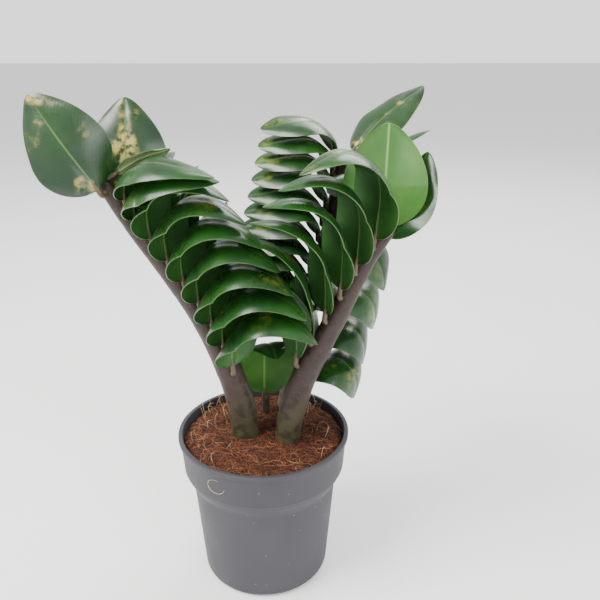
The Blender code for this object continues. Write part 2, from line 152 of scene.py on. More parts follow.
def finished(obj, slot, *solids):
    """Moves a piece from the pot's middle to its place in the frame, and fixes it to the plant."""
    obj.data.transform(Matrix.Translation(POT_MIDDLE))
    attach(obj, "root")
    if solids:
        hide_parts(*solids)


print("helpers ready")

# %% [markdown]
# ## Helpers for materials
#
# A material here is a small tree of nodes. A few helpers keep the trees readable: one feeds a
# node its values, one adds a node, one blends two colours by a mask, and one stretches a mask
# between a low and a high value so that it can be tuned.

# %% Helpers for materials
def feed(tree, node, inputs):
    """Gives a node's inputs their values: numbers, colours or other nodes' outputs."""
    for key, value in inputs.items():
        if isinstance(value, bpy.types.NodeSocket):
            tree.links.new(value, node.inputs[key])
        else:
            node.inputs[key].default_value = value


def add(tree, kind, inputs=None, **settings):
    """New node with its settings and its inputs."""
    node = tree.nodes.new(kind)
    for key, value in settings.items():
        setattr(node, key, value)
    feed(tree, node, inputs or {})
    return node


def blend(tree, mask, first, second):
    """Colour that goes from the first to the second with the mask."""
    first, second = [(*end, 1) if isinstance(end, tuple) else end for end in (first, second)]
    mix = add(tree, "ShaderNodeMix", {0: mask, 6: first, 7: second}, data_type="RGBA")
    return mix.outputs[2]


def sums(tree, operation, a, b=0.0, c=0.0, clamp=False):
    """One step of arithmetic on masks."""
    node = add(tree, "ShaderNodeMath", {0: a, 1: b, 2: c}, operation=operation)
    node.use_clamp = clamp
    return node.outputs[0]


def stretch(tree, value, low, high, to_low=0.0, to_high=1.0):
    """Mask that runs smoothly from one value to the other between low and high."""
    node = add(tree, "ShaderNodeMapRange", {"Value": value, "From Min": low, "From Max": high,
                                            "To Min": to_low, "To Max": to_high},
               interpolation_type="SMOOTHSTEP")
    return node.outputs["Result"]


def new_finish(name):
    """Material, its tree and its Principled shader."""
    material = bpy.data.materials.new(name)
    material.use_nodes = True
    return material, material.node_tree, material.node_tree.nodes["Principled BSDF"]


def new_effect(name, inputs, outputs):
    """Empty node group with named inputs and outputs, for an effect that finishes share."""
    group = bpy.data.node_groups.new(name, "ShaderNodeTree")
    for socket, default in inputs.items():
        kind = "NodeSocketVector" if socket == "Vector" else "NodeSocketFloat"
        made = group.interface.new_socket(socket, in_out="INPUT", socket_type=kind)
        if kind == "NodeSocketFloat":
            made.default_value = default
    for socket in outputs:
        group.interface.new_socket(socket, in_out="OUTPUT", socket_type="NodeSocketFloat")
    return group, group.nodes.new("NodeGroupInput"), group.nodes.new("NodeGroupOutput")


def effect(tree, group, **inputs):
    """A shared effect placed in a material with its own values."""
    return add(tree, "ShaderNodeGroup", inputs, node_tree=group)


def place_in_plant(tree):
    """Position in metres, the same for every piece, since all of them sit at the origin."""
    return add(tree, "ShaderNodeTexCoord").outputs["Object"]


print("material helpers ready")

# %% [markdown]
# ## Effects that several finishes share
#
# Plastic, bark and leaf all show three things up close: cloudy patches where the tone drifts,
# small pale specks, and a fine grain that breaks the shine. Each is built once as a node group
# and gets its own values in every material that uses it.

# %% Cloudy patches
patches, into, out = new_effect("cloudy_patches", {"Vector": 0, "Scale": 40.0, "Low": 0.4,
                                                   "High": 0.6, "Detail": 3.0}, ["Mask"])
cloud = add(patches, "ShaderNodeTexNoise", {"Vector": into.outputs["Vector"],
                                            "Scale": into.outputs["Scale"],
                                            "Detail": into.outputs["Detail"]})
patch_edge = add(patches, "ShaderNodeMapRange", {"Value": cloud.outputs[0],
                                                 "From Min": into.outputs["Low"],
                                                 "From Max": into.outputs["High"]},
                 interpolation_type="SMOOTHSTEP")
patches.links.new(patch_edge.outputs["Result"], out.inputs["Mask"])
print("made", patches.name)

# %% Pale specks
specks, into, out = new_effect("pale_specks", {"Vector": 0, "Scale": 400.0, "Size": 0.2,
                                               "Share": 0.3}, ["Mask"])
cells = add(specks, "ShaderNodeTexVoronoi", {"Vector": into.outputs["Vector"],
                                             "Scale": into.outputs["Scale"]})
dot = sums(specks, "LESS_THAN", cells.outputs["Distance"], into.outputs["Size"])
pick = add(specks, "ShaderNodeSeparateColor", {"Color": cells.outputs["Color"]}).outputs[0]
chosen = sums(specks, "LESS_THAN", pick, into.outputs["Share"])
specks.links.new(sums(specks, "MULTIPLY", dot, chosen), out.inputs["Mask"])
print("made", specks.name)

# %% Fine grain
grain, into, out = new_effect("fine_grain", {"Vector": 0, "Scale": 900.0, "Stretch": 1.0},
                              ["Height"])
longer = add(grain, "ShaderNodeCombineXYZ", {0: 1.0, 1: 1.0, 2: into.outputs["Stretch"]})
drawn = add(grain, "ShaderNodeVectorMath", {0: into.outputs["Vector"], 1: longer.outputs[0]},
            operation="MULTIPLY")
fine = add(grain, "ShaderNodeTexNoise", {"Vector": drawn.outputs[0],
                                         "Scale": into.outputs["Scale"], "Detail": 4.0})
grain.links.new(fine.outputs[0], out.inputs["Height"])
print("made", grain.name)

# %% The effects put to use
def cloudy(tree, where, scale, low, high, detail):
    """Mask of cloudy patches."""
    return effect(tree, patches, Vector=where, Scale=scale, Low=low, High=high,
                  Detail=detail).outputs["Mask"]


def speckled(tree, where, scale, size, share):
    """Mask of pale specks."""
    return effect(tree, specks, Vector=where, Scale=scale, Size=size, Share=share).outputs["Mask"]


def bumped(tree, height, strength, distance, under=None):
    """Normal that a height gives, over another normal if there is one."""
    inputs = {"Height": height, "Strength": strength, "Distance": distance}
    if under:
        inputs["Normal"] = under
    return add(tree, "ShaderNodeBump", inputs).outputs[0]


def grainy(tree, where, scale, strength, distance, drawn_out=1.0, under=None):
    """Normal of the fine grain, which can be drawn out along Z."""
    fine = effect(tree, grain, Vector=where, Scale=scale, Stretch=drawn_out)
    return bumped(tree, fine.outputs["Height"], strength, distance, under)


print("effects ready")

# %% [markdown]
# ## The pot
#
# A nursery pot is thin injection-moulded plastic. Its outline is one line: a small lip, a nearly
# straight collar with a ledge under it, a soft shoulder, and a wall that narrows to a rounded
# foot. Turning that line about the axis with the Screw modifier gives the whole pot, and notches
# are then cut from the foot, where the real pot lets water run out.

# %% Outline of the pot
def arc(centre_r, centre_z, radius, start, end, count):
    """Points of an arc in the outline, angles in degrees."""
    points = []
    for i in range(count + 1):
        angle = radians(start + (end - start) * i / count)
        points.append((centre_r + radius * cos(angle), centre_z + radius * sin(angle)))
    return points


def shoulder_radius(drop):
    """Outer radius under the ledge, drop from 0 to 1."""
    ease = drop * drop * (3 - 2 * drop)
    return SHOULDER_RADIUS + SHOULDER_STEP * (1 - ease)


SHOULDER_POINTS = 14
POT_STEPS = 128
INNER_CORNER = (3 * MM, 4 * MM)
lip_round = 0.75 * MM
collar_inner = COLLAR_RADIUS - WALL
outline = [(0, FLOOR_TOP), (CORNER_OUTER - WALL - INNER_CORNER[0], FLOOR_TOP)]
outline += [(CORNER_OUTER - WALL, FLOOR_TOP + INNER_CORNER[1])]
for step in range(SHOULDER_POINTS, 0, -1):
    drop = step / SHOULDER_POINTS
    outline.append((shoulder_radius(drop) - WALL, LEDGE_Z - drop * SHOULDER_DEPTH))
outline += [(LEDGE_RADIUS - WALL, LEDGE_Z)]
outline += [(collar_inner, POT_HEIGHT - 0.4 * MM), (collar_inner + 0.4 * MM, POT_HEIGHT)]
outline += arc(RIM_RADIUS - lip_round, POT_HEIGHT - lip_round, lip_round, 90, 0, 4)
outline += arc(RIM_RADIUS - lip_round, POT_HEIGHT - LIP_DEPTH + lip_round, lip_round, 0, -80, 4)
outline += [(COLLAR_RADIUS + 0.2 * MM, POT_HEIGHT - LIP_DEPTH - 0.3 * MM)]
outline += [(COLLAR_RADIUS - 0.25 * MM, POT_HEIGHT - LIP_DEPTH - 3 * MM)]
outline += [(LEDGE_RADIUS + 0.05 * MM, LEDGE_Z + 0.3 * MM), (LEDGE_RADIUS - 0.3 * MM, LEDGE_Z)]
outline += [(LEDGE_RADIUS - LEDGE_STEP, LEDGE_Z - LEDGE_STEP)]
for step in range(1, SHOULDER_POINTS + 1):
    drop = step / SHOULDER_POINTS
    outline.append((shoulder_radius(drop), LEDGE_Z - drop * SHOULDER_DEPTH))
outline += arc(FOOT_OUTER, CORNER_RADIUS, CORNER_RADIUS, 0, -90, 9)
outline += [(FOOT_OUTER - FOOT_RING, 0), (FOOT_OUTER - FOOT_RING, FOOT_RECESS), (0, FOOT_RECESS)]
print(len(outline), "points in the pot's outline")

# %% Turn the outline and cut the foot
def turned(name, points, steps):
    """Mesh object turned from an outline of (radius, height) points that ends on the axis."""
    mesh = bpy.data.meshes.new(name)
    edges = [(i, i + 1) for i in range(len(points) - 1)]
    mesh.from_pydata([(r, 0, z) for r, z in points], edges, [])
    obj = show(name, mesh)
    screw = obj.modifiers.new("Turn", "SCREW")
    screw.steps = steps
    screw.render_steps = steps
    screw.use_merge_vertices = True
    screw.merge_threshold = 0.00001
    return obj


pot = made_plain(turned("pot_moulding", outline, POT_STEPS))
cutters = bmesh.new()
for quarter in range(4):
    turn = Matrix.Rotation(quarter * pi / 2 - pi / 2, 4, "Z")
    shift = Matrix.Translation((FOOT_OUTER, 0, 0))
    size = Matrix.Diagonal((3 * CORNER_RADIUS, NOTCH_WIDTH, 2 * NOTCH_HEIGHT, 1))
    bmesh.ops.create_cube(cutters, size=1, matrix=turn @ shift @ size)
bmesh.ops.bevel(cutters, geom=cutters.edges[:], offset=0.6 * MM, segments=2, affect="EDGES")
for number in range(DRAIN_HOLES):
    turn = Matrix.Rotation(2 * pi * number / DRAIN_HOLES, 4, "Z")
    shift = Matrix.Translation((DRAIN_CIRCLE, 0, FLOOR_TOP / 2))
    bmesh.ops.create_cone(cutters, cap_ends=True, segments=32, radius1=DRAIN_RADIUS,
                          radius2=DRAIN_RADIUS, depth=2 * FLOOR_TOP, matrix=turn @ shift)
cutter_mesh = bpy.data.meshes.new("notches")
cutters.to_mesh(cutter_mesh)
cutters.free()
notches = show("notches", cutter_mesh)
cut = pot.modifiers.new("Notches", "BOOLEAN")
cut.operation = "DIFFERENCE"
cut.solver = "EXACT"
cut.object = notches
pot = made_plain(pot)
bpy.data.objects.remove(notches, do_unlink=True)
smooth(pot, sharp_from=32)
print("pot has", len(pot.data.polygons), "faces")

# %% [markdown]
# ## Pot plastic
#
# The pot is recycled grey plastic: matt, slightly violet, with a few pale flecks and faint
# smudges of dried water. Its roughness drifts with the smudges, and a very fine grain keeps the
# highlight soft.

# %% Pot plastic
pot_plastic, tree, shader = new_finish("pot_plastic_look")
where = place_in_plant(tree)
smudges = cloudy(tree, where, scale=28.0, low=0.35, high=0.75, detail=5.0)
flecks = speckled(tree, where, scale=260.0, size=0.16, share=0.10)
tone = blend(tree, smudges, (0.044, 0.042, 0.049), (0.058, 0.056, 0.064))
tone = blend(tree, sums(tree, "MULTIPLY", flecks, 0.55), tone, (0.20, 0.19, 0.18))
feed(tree, shader, {
    "Base Color": tone,
    "Roughness": stretch(tree, smudges, 0, 1, 0.52, 0.66),
    "Specular IOR Level": 0.3,
    "Normal": grainy(tree, where, scale=1400.0, strength=0.12, distance=0.2 * MM),
})
pot.data.materials.append(pot_plastic)
finished(pot, "pot_plastic", "pot")
print("pot finished")

# %% [markdown]
# ## The soil
#
# The pot is filled with coconut fibre. From above it is a crumbly, uneven bed that sinks a little
# at the wall, and on it lies a felt of loose, curling hairs. The bed is a turned solid whose
# points are pushed about by noise. The hairs are thin curves that wander over the bed, because
# only real strands catch the light and cast the small shadows that a bump can't.

# %% Bed of soil
BED_DEPTH = 12 * MM
BED_DROP = 1.2 * MM
BED_RINGS = 56
BED_STEPS = 180
LUMP_HEIGHT = 1.5 * MM
LUMPS_PER_METRE = 90
CRUMB_HEIGHT = 0.8 * MM
CRUMBS_PER_METRE = 420
HOLLOW_DEPTH = 3 * MM
HOLLOW_RADIUS = 16 * MM
HOLLOW_X = -25 * MM
HOLLOW_Y = 12 * MM
EDGE_FROM = 0.90
EDGE_DROP = 3 * MM


def bed_height(x, y):
    """Height of the soil's surface at a place, with lumps, one hollow and a sunken edge."""
    away = sqrt(x * x + y * y) / SOIL_RADIUS
    lumps = noise.fractal(Vector((x, y, 0)) * LUMPS_PER_METRE, 1.0, 2.0, 4)
    crumbs = noise.fractal(Vector((x, y, 3)) * CRUMBS_PER_METRE, 0.9, 2.0, 3)
    hollow = exp(-((x - HOLLOW_X) ** 2 + (y - HOLLOW_Y) ** 2) / HOLLOW_RADIUS ** 2)
    edge = max(0.0, (away - EDGE_FROM) / (1 - EDGE_FROM)) ** 2
    middle = SOIL_TOP + SOIL_DOME * (1 - away * away) - BED_DROP
    return (middle + lumps * LUMP_HEIGHT + crumbs * CRUMB_HEIGHT - hollow * HOLLOW_DEPTH
            - edge * EDGE_DROP)


bed_outline = [(SOIL_RADIUS * k / BED_RINGS, SOIL_TOP) for k in range(BED_RINGS + 1)]
bed_outline += [(SOIL_RADIUS, SOIL_TOP - BED_DEPTH), (0, SOIL_TOP - BED_DEPTH)]
bed = made_plain(turned("coir_bed", bed_outline, BED_STEPS))
for vert in bed.data.vertices:
    if vert.co.z > SOIL_TOP - BED_DEPTH / 2:
        vert.co.z = bed_height(vert.co.x, vert.co.y)
smooth(bed, sharp_from=180)
print("bed of soil has", len(bed.data.polygons), "faces")

# %% Loose coconut fibre
FIBRES = 2600
FIBRE_RADII = (0.10 * MM, 0.26 * MM)
FIBRE_STEPS = 7
FIBRE_REACH = SOIL_RADIUS * 0.985
chance = random.Random(11)


def on_bed():
    """Random place on the bed, evenly over the whole disc."""
    angle = chance.uniform(0, 2 * pi)
    away = FIBRE_REACH * sqrt(chance.random())
    return away * cos(angle), away * sin(angle)


def new_tubes(name, resolution=1):
    """Curve whose splines become round tubes with their points' radii."""
    curve = bpy.data.curves.new(name, "CURVE")
    curve.dimensions = "3D"
    curve.bevel_depth = 1.0
    curve.bevel_resolution = resolution
    curve.use_fill_caps = True
    return curve


def add_tube(curve, points, radii):
    """One more tube in the curve, along the points."""
    spline = curve.splines.new("POLY")
    spline.points.add(len(points) - 1)
    spline.use_smooth = True
    for point, place, radius in zip(spline.points, points, radii):
        point.co = (*place, 1)
        point.radius = radius


def strand(curve, points, radius):
    """One fibre, thinner at both ends."""
    last = len(points) - 1
    add_tube(curve, points, [radius * (0.35 + 0.65 * sin(pi * min(max(k / last, 0.08), 0.92)))
                             for k in range(last + 1)])


lying = new_tubes("coir_fibres", 0)
for _ in range(FIBRES):
    x, y = on_bed()
    heading = chance.uniform(0, 2 * pi)
    curl = chance.gauss(0, 0.55)
    length = chance.uniform(6, 26) * MM
    lift = chance.uniform(-0.2, 1.0) * MM
    points = []
    for k in range(FIBRE_STEPS + 1):
        arch = lift * sin(pi * k / FIBRE_STEPS)
        height = bed_height(x, y) + arch + chance.uniform(-0.2, 0.5) * MM
        points.append((x, y, height))
        heading += curl + chance.gauss(0, 0.35)
        x += cos(heading) * length / FIBRE_STEPS
        y += sin(heading) * length / FIBRE_STEPS
        away = sqrt(x * x + y * y) / FIBRE_REACH
        if away > 1:
            x, y = x / away, y / away
    strand(lying, points, chance.uniform(*FIBRE_RADII))
fibres = made_plain(show("coir_fibres", lying))
smooth(fibres, sharp_from=180)
print(FIBRES, "fibres lie on the bed, in", len(fibres.data.polygons), "faces")

# %% Fibres that stand up
STANDING = 60
STANDING_STEPS = 9
STRAY_STEPS = 14
STRAY_DIRECTION = radians(237)
STRAY_DROP = 13 * MM
standing = new_tubes("standing_fibres", 0)
for _ in range(STANDING):
    angle = chance.choice((chance.uniform(0.5, 1.1), chance.uniform(2.0, 2.9),
                           chance.uniform(0, 2 * pi)))
    away = SOIL_RADIUS * chance.uniform(0.55, 0.95)
    x, y = away * cos(angle), away * sin(angle)
    heading = angle + chance.gauss(0, 0.7)
    height = bed_height(x, y) - 0.5 * MM
    rise = chance.uniform(4, 13) * MM
    run = chance.uniform(4, 11) * MM
    bend = chance.gauss(0, 0.35)
    points = []
    for k in range(STANDING_STEPS + 1):
        share = k / STANDING_STEPS
        points.append((x, y, height + rise * sin(pi * share * 0.62)))
        x += cos(heading) * run / STANDING_STEPS
        y += sin(heading) * run / STANDING_STEPS
        heading += bend
    strand(standing, points, chance.uniform(0.08, 0.14) * MM)
stray = []
away = COLLAR_RADIUS + 0.25 * MM
for k in range(STRAY_STEPS + 1):
    turn = 2 * pi * 0.8 * k / STRAY_STEPS + 1.2
    angle = STRAY_DIRECTION + cos(turn) * 6.5 * MM / COLLAR_RADIUS
    height = POT_HEIGHT - STRAY_DROP + sin(turn) * 5 * MM
    stray.append((away * cos(angle), away * sin(angle), height))
strand(standing, stray, 0.16 * MM)
standing_fibres = made_plain(show("standing_fibres", standing))
smooth(standing_fibres, sharp_from=180)
print(STANDING, "fibres stand up from the bed, and one has strayed onto the collar")

# %% [markdown]
# ## Coir
#
# Dry coconut fibre is a warm rust brown, and single strands run from dark brown to straw. The bed
# gets a crumbly base painted nearly black, a painted shade for the depths between the strands, and
# the fibres take a different tone for each strand with Random Per Island, which gives every loose
# piece of a mesh its own number.

# %% Soil and fibre materials
coir_bed, tree, shader = new_finish("coir_bed_look")
where = place_in_plant(tree)
# Painted shade: the bed's near-black tones stand in for the shade deep between the strands; clumps
# vary it at random.
clumps = cloudy(tree, where, scale=150.0, low=0.38, high=0.62, detail=6.0)
feed(tree, shader, {
    "Base Color": blend(tree, clumps, (0.010, 0.003, 0.002), (0.060, 0.017, 0.006)),
    "Roughness": 0.95,
    "Normal": grainy(tree, where, scale=1100.0, strength=0.9, distance=1.2 * MM),
})
bed.data.materials.append(coir_bed)


def fibre_finish(name, dark, middle, pale, pale_share):
    """Strands that each have one tone between dark and middle, and a share of them pale."""
    material, tree, shader = new_finish(name)
    island = add(tree, "ShaderNodeNewGeometry").outputs["Random Per Island"]
    tone = blend(tree, stretch(tree, island, 0.0, 1.0 - pale_share), dark, middle)
    tone = blend(tree, stretch(tree, island, 0.98 - pale_share, 1.0), tone, pale)
    feed(tree, shader, {
        "Base Color": tone,
        "Roughness": 0.7,
        "Normal": grainy(tree, place_in_plant(tree), scale=2500.0, strength=0.3,
                         distance=0.2 * MM),
    })
    return material


fibres.data.materials.append(fibre_finish("coir_fibre_look", (0.030, 0.008, 0.004),
                                          (0.20, 0.055, 0.017), (0.38, 0.17, 0.07), 0.10))
standing_fibres.data.materials.append(fibre_finish("straw_fibre_look", (0.30, 0.15, 0.07),
                                                   (0.62, 0.42, 0.24), (0.80, 0.68, 0.50), 0.4))
finished(bed, "coir_soil", "soil")
finished(fibres, "coir_soil")
finished(standing_fibres, "coir_soil")
print("soil finished")

# %% [markdown]
# ## How the plant grows
#
# A frond is a fleshy stem with two rows of leaflets. Each stem is a smooth line through a few
# points. Each leaflet leaves its stem at a place, heads in a compass direction, rises, and then
# bends over towards its underside, with a twist on the way. The frame's leaflets were grown by
# the rules below: where one would touch another, it tries again with small changes until it has
# room. The same rules run here, so that each fine leaflet lies exactly where its solid lies.

# %% Stem lines
PLANT_HEIGHT = 300 * MM
DRAWN_HEIGHT = 190 * MM
DRAWN_SOIL_RADIUS = 56.9 * MM
STEM_STEPS = 60
LEAFLET_SCALE = 1.0
STEMS = {
    "left_stem": dict(
        points=[(-13, 0, 0), (-14, 0, 14), (-17, -1, 31), (-26.5, -3, 63), (-40, -5, 94),
                (-57, -7, 123), (-73.5, -9, 149), (-85, -10, 168), (-92, -10, 180)],
        radii=[10, 10.2, 9.8, 8.8, 7.8, 6.8, 6, 5.3, 4.5],
    ),
    "right_stem": dict(
        points=[(16.5, -9, 0), (18, -9, 14), (22, -9, 30), (27, -10, 46), (34, -10, 61),
                (48, -12, 90), (60, -13, 116), (67, -14, 130), (75, -15, 143), (82, -15, 152)],
        radii=[9.4, 9.5, 9.5, 9, 8.5, 7.4, 6.4, 5.8, 5.2, 4.5],
    ),
    "back_stem": dict(
        points=[(19, 38, 0), (21, 38, 12), (26, 39, 38), (33, 40, 70), (41, 42, 100),
                (48, 44, 129), (54, 45, 158), (57, 45, 178), (58, 45, 190)],
        radii=[8.5, 8.5, 7.8, 7.2, 6.5, 5.8, 5.2, 4.5, 4],
    ),
    "small_stem": dict(
        points=[(2, 28, 0), (2, 26.5, 15), (2.5, 25, 32), (3, 24, 44)],
        radii=[3.2, 3, 2.8, 2.6],
    ),
}


def curve_through(points, count):
    """Evenly spaced parameters along a smooth Catmull-Rom line through the points."""
    ends = [2 * points[0] - points[1], *points, 2 * points[-1] - points[-2]]
    line = []
    for k in range(count):
        x = k / (count - 1) * (len(points) - 1)
        i = min(int(x), len(points) - 2)
        t = x - i
        a, b, c, d = ends[i:i + 4]
        line.append(0.5 * (2 * b + (c - a) * t + (2 * a - 5 * b + 4 * c - d) * t ** 2
                           + (3 * b - a - 3 * c + d) * t ** 3))
    return line


class Stem:
    """Centre line and radius of a stem, looked up by the share of its length over the soil."""

    def __init__(self, points, radii):
        stretch = (PLANT_HEIGHT - SOIL_TOP) / DRAWN_HEIGHT
        spread = SOIL_RADIUS / DRAWN_SOIL_RADIUS
        places = [Vector((x * spread * MM, y * spread * MM, SOIL_TOP + z * stretch * MM))
                  for x, y, z in points]
        self.line = curve_through(places, STEM_STEPS + 1)
        self.radii = [self.radius_at(radii, k / STEM_STEPS) * MM for k in range(STEM_STEPS + 1)]
        self.lengths = [0.0]
        for a, b in zip(self.line, self.line[1:]):
            self.lengths.append(self.lengths[-1] + (b - a).length)

    @staticmethod
    def radius_at(radii, share):
        """Radius at a share of the length, between the drawn ones."""
        x = share * (len(radii) - 1)
        i = min(int(x), len(radii) - 2)
        return radii[i] + (radii[i + 1] - radii[i]) * (x - i)

    def at(self, share):
        """Point, direction and radius at a share of the length."""
        wanted = share * self.lengths[-1]
        i = 0
        while i < STEM_STEPS - 1 and self.lengths[i + 1] < wanted:
            i += 1
        t = (wanted - self.lengths[i]) / (self.lengths[i + 1] - self.lengths[i])
        point = self.line[i].lerp(self.line[i + 1], t)
        ahead = self.line[min(i + 2, STEM_STEPS)]
        direction = (ahead - self.line[max(i - 1, 0)]).normalized()
        return point, direction, self.radii[i] + (self.radii[i + 1] - self.radii[i]) * t


stems = {name: Stem(**drawn) for name, drawn in STEMS.items()}
for name, stem in stems.items():
    print(f"{name} is {stem.lengths[-1] / MM:.0f} mm long over the soil")

# %% Leaflets as they are planned
SEAT_GAP = 1.2 * MM
STALK_SHARE = 0.07
STALK_HALF_WIDTH = 2.2 * MM
TIP_HALF_WIDTH = 0.6 * MM
LEAF_STEPS = 54

# A leaflet's default turns, in degrees, and shape. heading is the compass direction that it
# grows in, 0 along +X. It leaves the stem at the angle rise over level and ends at fall.
# reach is how much further than SEAT_GAP its base stands from the stem, in mm.
PLAIN = dict(lean=0, roll=0, around=0, reach=0, twist=0, tilt=0, cup=0.35, peak=0.45,
             spread=0.22)

# Rows of leaflets, lowest first. A pair of values runs from the first leaflet to the last.
ROWS = [
    dict(name="left_near", stem="left_stem", count=7, place=(0.27, 0.765), heading=(-68, -60),
         rise=(92, 104), fall=(-56, -42), lean=(4, 8), length=(104, 92), width=(27, 23),
         cup=0.5, peak=(0.57, 0.48), spread=(0.42, 0.40), twist=(50, 45), tilt=(-20, -24)),
    dict(name="left_upper", stem="left_stem", count=2, place=(0.84, 0.905), heading=(-58, -48),
         rise=98, fall=(-38, -35), lean=8, length=84, width=(21, 19), cup=0.5,
         peak=(0.30, 0.25), spread=0.36, twist=(35, 25), tilt=(-24, -20)),
    dict(name="left_tip", stem="left_stem", count=1, place=0.97, heading=168, rise=56, fall=30,
         length=70, width=26, roll=-50, around=75, reach=2.5),
    dict(name="left_crown", stem="left_stem", count=1, place=0.90, heading=95, rise=84, fall=62,
         length=66, width=27, roll=-5, around=-35, reach=0.5),
    dict(name="left_young", stem="left_stem", count=1, place=1.0, heading=5, rise=34, fall=12,
         length=38, width=10, roll=-35, reach=2),
    dict(name="right_near", stem="right_stem", count=6, place=(0.34, 0.90), heading=(195, 238),
         rise=(88, 94), fall=(20, -40), lean=(0, 8), length=(98, 106), width=(21, 25), cup=0.4,
         peak=(0.66, 0.60), spread=0.32, twist=(-10, -40), tilt=(5, 15)),
    dict(name="right_tip", stem="right_stem", count=1, place=0.95, heading=268, rise=94, fall=74,
         length=70, width=29, roll=-5, cup=0.5, lean=-7, around=180, reach=0.5),
    dict(name="right_crown", stem="right_stem", count=1, place=0.93, heading=35, rise=50,
         fall=62, length=64, width=22),
    dict(name="small", stem="small_stem", count=1, place=0.36, heading=-100, rise=82, fall=-40,
         length=82, width=24, twist=35, peak=0.74, spread=0.25),
    dict(name="back_right", stem="back_stem", count=6, place=(0.17, 0.83), heading=(-50, -58),
         rise=(46, 54), fall=(-100, -76), length=(74, 84), width=(28, 25), peak=0.6,
         spread=0.3, twist=(10, 5), tilt=-10),
    dict(name="back_left", stem="back_stem", count=13, place=(0.25, 0.97), heading=(207, 200),
         rise=88, fall=(-20, -15), length=(74, 67), width=(24, 21), peak=(0.40, 0.35),
         spread=0.3, twist=(-20, -15), tilt=(-36, -30)),
    dict(name="back_tip", stem="back_stem", count=1, place=0.98, heading=15, rise=48, fall=30,
         length=72, width=20, roll=20),
    dict(name="back_crown", stem="back_stem", count=1, place=0.92, heading=-45, rise=44,
         fall=34, length=72, width=18, roll=20, around=-20, reach=1),
    dict(name="left_far", stem="left_stem", count=7, place=(0.31, 0.80), heading=(62, 56),
         rise=86, fall=(10, 20), lean=(5, 10), length=(70, 72), width=20, cup=0.5, peak=0.55,
         spread=0.36, twist=-20),
    dict(name="right_far", stem="right_stem", count=3, place=(0.42, 0.80), heading=(140, 120),
         rise=88, fall=30, length=(50, 56), width=15, peak=0.5, spread=0.30, twist=40),
]


def between(value, share):
    """A row's value for one leaflet: the same for all, or part of the way through a pair."""
    if isinstance(value, tuple):
        return value[0] + (value[1] - value[0]) * share
    return value


def planned_leaflets():
    """Every leaflet as a dict of its values, named from its row."""
    leaflets = []
    for row in ROWS:
        for i in range(row["count"]):
            share = i / max(row["count"] - 1, 1)
            leaf = dict(PLAIN)
            leaf.update({key: between(value, share) for key, value in row.items()})
            leaf["name"] = row["name"] + "_leaflet" + (f"_{i + 1}" if row["count"] > 1 else "")
            leaflets.append(leaf)
    return leaflets


planned = planned_leaflets()
print(len(planned), "leaflets planned")

# %% Shape of a leaflet
WIDEST_POWER = 0.80
FULLNESS = 0.62
NARROWING = 0.18
TWIST_SHARE = 0.42


def half_width(u, width):
    """Half a leaflet's width at the share u of its length: stalk, round base, short point."""
    if u < STALK_SHARE:
        return STALK_HALF_WIDTH
    x = min((u - STALK_SHARE) / (1 - STALK_SHARE), 1)
    body = width * sin(pi * x ** WIDEST_POWER) ** FULLNESS if x < 1 else 0
    return max(body * (1 - NARROWING * x), STALK_HALF_WIDTH if x < 0.5 else TIP_HALF_WIDTH)


def first_frame(stem, leaf):
    """Base point of a leaflet, and its axes there: X across, Y along, Z out of its upper side."""
    point, direction, radius = stem.at(leaf["place"])
    heading = radians(leaf["heading"])
    rise = radians(leaf["rise"])
    side = heading + radians(leaf["around"])
    out = Vector((cos(side), sin(side), 0))
    out = (out - direction * out.dot(direction)).normalized()
    base = point + out * (radius + SEAT_GAP + leaf["reach"] * MM)
    along = Vector((cos(rise) * cos(heading), cos(rise) * sin(heading), sin(rise)))
    upper = Vector((-sin(rise) * cos(heading), -sin(rise) * sin(heading), cos(rise)))
    towards_tip = 1 if upper.cross(along).dot(direction) > 0 else -1
    along = Quaternion(upper, towards_tip * radians(leaf["lean"])) @ along
    upper = Quaternion(along, radians(leaf["roll"])) @ upper
    across = along.cross(upper)
    return base, Matrix((across, along, upper)).transposed().to_quaternion()


def midrib_frames(stem, leaf):
    """Point and axes after every step along the midrib, which bends towards the underside."""
    point, axes = first_frame(stem, leaf)
    bends = [exp(-(((k + 0.5) / LEAF_STEPS - leaf["peak"]) / leaf["spread"]) ** 2)
             for k in range(LEAF_STEPS)]
    bend = radians(leaf["rise"] - leaf["fall"]) / sum(bends)
    step = leaf["length"] * MM * LEAFLET_SCALE / LEAF_STEPS
    frames = [(point, axes)]
    for k in range(LEAF_STEPS):
        if (k + 0.5) / LEAF_STEPS < TWIST_SHARE:
            twist = radians(leaf["twist"]) / TWIST_SHARE / LEAF_STEPS
        else:
            twist = radians(leaf["tilt"]) / (1 - TWIST_SHARE) / LEAF_STEPS
        axes = axes @ Quaternion((1, 0, 0), -bend * bends[k]) @ Quaternion((0, 1, 0), twist)
        point = point + axes @ Vector((0, step, 0))
        frames.append((point, axes))
    return frames


def leaf_points(frames, leaf, rows, columns, lift=0.0):
    """Grid of points over a leaflet, a lift over its middle surface. Its edges droop by cup."""
    width = leaf["width"] * MM * LEAFLET_SCALE
    cup = leaf["cup"]
    grid = []
    for i in range(rows + 1):
        u = i / rows
        point, axes = frames[round(u * LEAF_STEPS)]
        half = half_width(u, width)
        for j in range(columns + 1):
            bow = cup * (2 * j / columns - 1)
            normal = Vector((sin(bow), 0, cos(bow)))
            place = Vector((half * sin(bow) / cup, 0, -half * (1 - cos(bow)) / cup))
            grid.append(point + axes @ (place + normal * lift))
    return grid


print("a leaflet is widest at", max(range(101), key=lambda k: half_width(k / 100, 1)), "percent")

